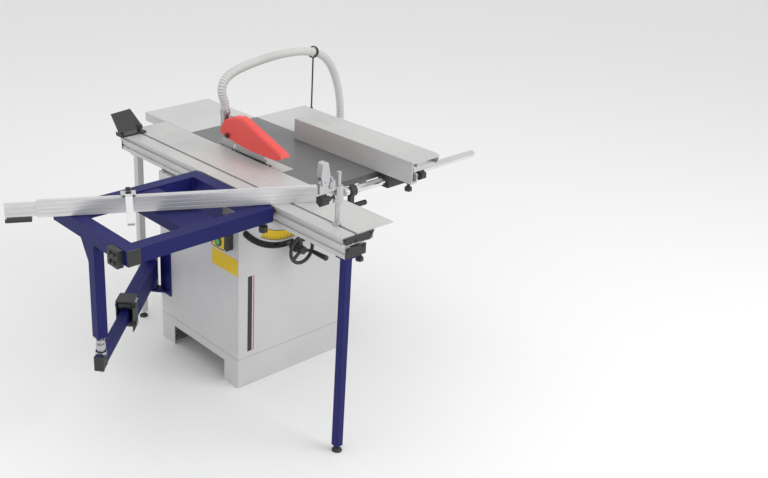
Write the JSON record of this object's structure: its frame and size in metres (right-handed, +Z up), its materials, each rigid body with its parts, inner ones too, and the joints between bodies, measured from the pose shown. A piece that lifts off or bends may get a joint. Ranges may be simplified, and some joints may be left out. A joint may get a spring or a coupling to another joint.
{
  "type": "sliding-table panel saw",
  "caption": "Panel saw with tilting blade, sliding carriage on a beam, outrigger frame on a swing arm, crosscut fence, rip fence and overhead dust hose.",
  "frame": {"origin": "on the floor, at the centre of the cabinet's four floor bolts", "axes": "+X to the operator's right, +Y to the rear along the feed direction, +Z up"},
  "size_m": [1.9495, 1.5425, 1.171],
  "materials": {
    "light_grey_paint": "satin textured paint",
    "navy_paint": "semi-gloss paint",
    "cast_iron": "ground and oiled",
    "aluminium": "anodised extrusion",
    "steel": "machined and zinc plated",
    "chrome": "hard chromed",
    "black_plastic": "moulded, fine grain",
    "black_metal": "black powder coat",
    "red_guard": "moulded, glossy",
    "hose": "flexible ribbed tube",
    "red_button": "moulded",
    "green_button": "moulded",
    "blade_steel": "ground",
    "belt_rubber": "moulded",
    "foot_plastic": "moulded"
  },
  "bodies": {
    "frame": {"plinth": "light_grey_paint", "cabinet_front": "light_grey_paint", "cabinet_rear": "light_grey_paint", "cabinet_sides": "light_grey_paint", "dust_port": "black_plastic", "switch_box": "black_plastic", "main_table": "cast_iron", "table_insert": "aluminium", "table_supports": "cast_iron", "right_extension": "light_grey_paint", "rear_extension": "light_grey_paint", "hose_rod": "black_metal", "slide_beam": "aluminium", "beam_end_plates": "black_plastic", "front_leg": "navy_paint", "rear_leg": "light_grey_paint", "trunnions": "cast_iron", "arm_pivot": "navy_paint", "front_rail": "chrome", "dust_hose": "hose"},
    "saw_unit": {"tilt_cradle": "cast_iron", "guard_hanger": "steel"},
    "raising_unit": {"arbor_housing": "cast_iron", "motor": "black_metal", "drive_belt": "belt_rubber", "riving_knife": "blade_steel"},
    "arbor_assembly": {"arbor": "steel", "saw_blade": "blade_steel"},
    "motor_rotor": {"motor_pulley": "steel"},
    "raise_screw": {"raise_screw": "steel"},
    "handwheel": {"handwheel": "black_plastic"},
    "tilt_lock": {"tilt_lock": "black_plastic"},
    "blade_guard": {"blade_guard": "red_guard"},
    "stop_button": {"stop_button": "red_button"},
    "start_button": {"start_button": "green_button"},
    "front_foot": {"front_leg_foot": "foot_plastic"},
    "rear_foot": {"rear_leg_foot": "foot_plastic"},
    "carriage_lock": {"carriage_lock": "black_plastic"},
    "carriage": {"carriage": "aluminium", "carriage_fittings": "black_plastic", "outrigger_frame": "navy_paint", "outrigger_fittings": "black_plastic", "outrigger_post": "navy_paint", "post_pin": "steel"},
    "swing_arm": {"swing_arm": "navy_paint", "arm_rollers": "black_metal"},
    "arm_inner": {"arm_inner": "navy_paint"},
    "crosscut_fence": {"crosscut_fence": "aluminium"},
    "fence_extension": {"fence_extension": "aluminium"},
    "flip_stop": {"flip_stop": "aluminium"},
    "stop_finger": {"stop_finger": "aluminium"},
    "hold_down": {"hold_down_column": "steel"},
    "hold_down_head": {"hold_down_head": "steel"},
    "hold_down_knob": {"hold_down_knob": "black_plastic"},
    "hold_down_lever": {"hold_down_lever": "steel"},
    "edging_shoe": {"edging_shoe": "black_metal"},
    "rip_carrier": {"rip_carrier": "black_metal"},
    "rip_fence": {"rip_fence": "aluminium"},
    "fence_knob": {"fence_knob": "black_plastic"},
    "rail_lever": {"rail_lever": "black_plastic"}
  },
  "joints": [
    {"name": "blade_tilt", "type": "hinge", "parent": "frame", "child": "saw_unit", "pos_m": [-0.02, 0, 0.85], "axis": [0, 1, 0], "range_deg": [0, 45], "deforming": ["dust_hose"]},
    {"name": "blade_raise", "type": "slide", "parent": "saw_unit", "child": "raising_unit", "axis": [0, 0, 1], "range_m": [-0.065, 0.008]},
    {"name": "blade_spin", "type": "hinge", "parent": "raising_unit", "child": "arbor_assembly", "pos_m": [-0.02, -0.022, 0.788], "axis": [1, 0, 0], "continuous": true},
    {"name": "motor_spin", "type": "hinge", "parent": "raising_unit", "child": "motor_rotor", "pos_m": [0.082, -0.022, 0.64], "axis": [1, 0, 0], "continuous": true},
    {"name": "raise_screw_turn", "type": "hinge", "parent": "saw_unit", "child": "raise_screw", "pos_m": [-0.02, -0.17, 0.6], "axis": [0, 0, 1], "range_deg": [-1463, 181]},
    {"name": "handwheel_turn", "type": "hinge", "parent": "saw_unit", "child": "handwheel", "pos_m": [-0.02, -0.342, 0.567], "axis": [0, 1, 0], "range_deg": [-1463, 181]},
    {"name": "tilt_lock_turn", "type": "hinge", "parent": "saw_unit", "child": "tilt_lock", "pos_m": [-0.02, -0.308, 0.567], "axis": [0, 1, 0], "range_deg": [-5, 30]},
    {"name": "guard_lift", "type": "hinge", "parent": "saw_unit", "child": "blade_guard", "pos_m": [-0.02, 0.094, 0.913], "axis": [-1, 0, 0], "range_deg": [0, 8]},
    {"name": "stop_push", "type": "slide", "parent": "frame", "child": "stop_button", "axis": [1, 0, 0], "range_m": [0, 0.005], "stiffness_N_per_m": 500},
    {"name": "start_push", "type": "slide", "parent": "frame", "child": "start_button", "axis": [1, 0, 0], "range_m": [0, 0.005], "stiffness_N_per_m": 500},
    {"name": "front_foot_height", "type": "slide", "parent": "frame", "child": "front_foot", "axis": [0, 0, 1], "range_m": [0, 0.01]},
    {"name": "rear_foot_height", "type": "slide", "parent": "frame", "child": "rear_foot", "axis": [0, 0, 1], "range_m": [0, 0.01]},
    {"name": "carriage_lock_turn", "type": "hinge", "parent": "frame", "child": "carriage_lock", "pos_m": [-0.166, -0.798, 0.74], "axis": [0, 0, 1], "range_deg": [0, 180]},
    {"name": "carriage_slide", "type": "slide", "parent": "frame", "child": "carriage", "axis": [0, 1, 0], "range_m": [-0.1, 0.2]},
    {"name": "arm_swing", "type": "hinge", "parent": "frame", "child": "swing_arm", "pos_m": [-0.303, 0.278, 0.338], "axis": [0, 0, 1], "range_deg": [-11.95, 6]},
    {"name": "arm_telescope", "type": "slide", "parent": "swing_arm", "child": "arm_inner", "axis": [-0.7304, -0.683, 0], "range_m": [-0.127, 0.0635]},
    {"name": "fence_mitre", "type": "hinge", "parent": "carriage", "child": "crosscut_fence", "pos_m": [-0.202, -0.46985, 0.85], "axis": [0, 0, 1], "range_deg": [-16, 28.9]},
    {"name": "fence_extend", "type": "slide", "parent": "crosscut_fence", "child": "fence_extension", "axis": [-0.8755, 0.4833, 0], "range_m": [-0.05, 0.45]},
    {"name": "stop_slide", "type": "slide", "parent": "crosscut_fence", "child": "flip_stop", "axis": [-0.8755, 0.4833, 0], "range_m": [-0.45, 0.28]},
    {"name": "stop_flip", "type": "hinge", "parent": "flip_stop", "child": "stop_finger", "pos_m": [-0.70639, -0.21882, 0.915], "axis": [-0.8755, 0.4833, 0], "range_deg": [0, 100]},
    {"name": "hold_down_slide", "type": "slide", "parent": "carriage", "child": "hold_down", "axis": [0, 1, 0], "range_m": [-0.08, 0.1]},
    {"name": "hold_down_height", "type": "slide", "parent": "hold_down", "child": "hold_down_head", "axis": [0, 0, 1], "range_m": [-0.05, 0.04]},
    {"name": "hold_down_clamp", "type": "hinge", "parent": "hold_down_head", "child": "hold_down_knob", "pos_m": [-0.242, -0.719, 0.954], "axis": [-1, 0, 0], "range_deg": [0, 90]},
    {"name": "hold_down_press", "type": "hinge", "parent": "hold_down_head", "child": "hold_down_lever", "pos_m": [-0.268, -0.719, 1.02], "axis": [0, -1, 0], "range_deg": [0, 50]},
    {"name": "shoe_slide", "type": "slide", "parent": "carriage", "child": "edging_shoe", "axis": [0, 1, 0], "range_m": [-0.25, 0.03]},
    {"name": "rip_set", "type": "slide", "parent": "frame", "child": "rip_carrier", "axis": [1, 0, 0], "range_m": [-0.15, 0.35]},
    {"name": "rip_fence_slide", "type": "slide", "parent": "rip_carrier", "child": "rip_fence", "axis": [0, 1, 0], "range_m": [-0.1, 0.1]},
    {"name": "fence_knob_turn", "type": "hinge", "parent": "rip_fence", "child": "fence_knob", "pos_m": [0.3, -0.603, 0.871], "axis": [1, 0, 0], "range_deg": [0, 90]},
    {"name": "rail_lever_turn", "type": "hinge", "parent": "frame", "child": "rail_lever", "pos_m": [0.1, -0.472, 0.822], "axis": [-1, 0, 0], "range_deg": [0, 40]}
  ],
  "couplings": [
    {"joint": "motor_spin", "follows": "blade_spin", "ratio": 0.66667},
    {"joint": "raise_screw_turn", "follows": "blade_raise", "rad_per_m": 392.7},
    {"joint": "handwheel_turn", "follows": "blade_raise", "rad_per_m": 392.7},
    {"joint": "arm_swing", "follows": "carriage_slide", "rad_per_m": -1.04},
    {"joint": "arm_telescope", "follows": "carriage_slide", "ratio": -0.632}
  ]
}
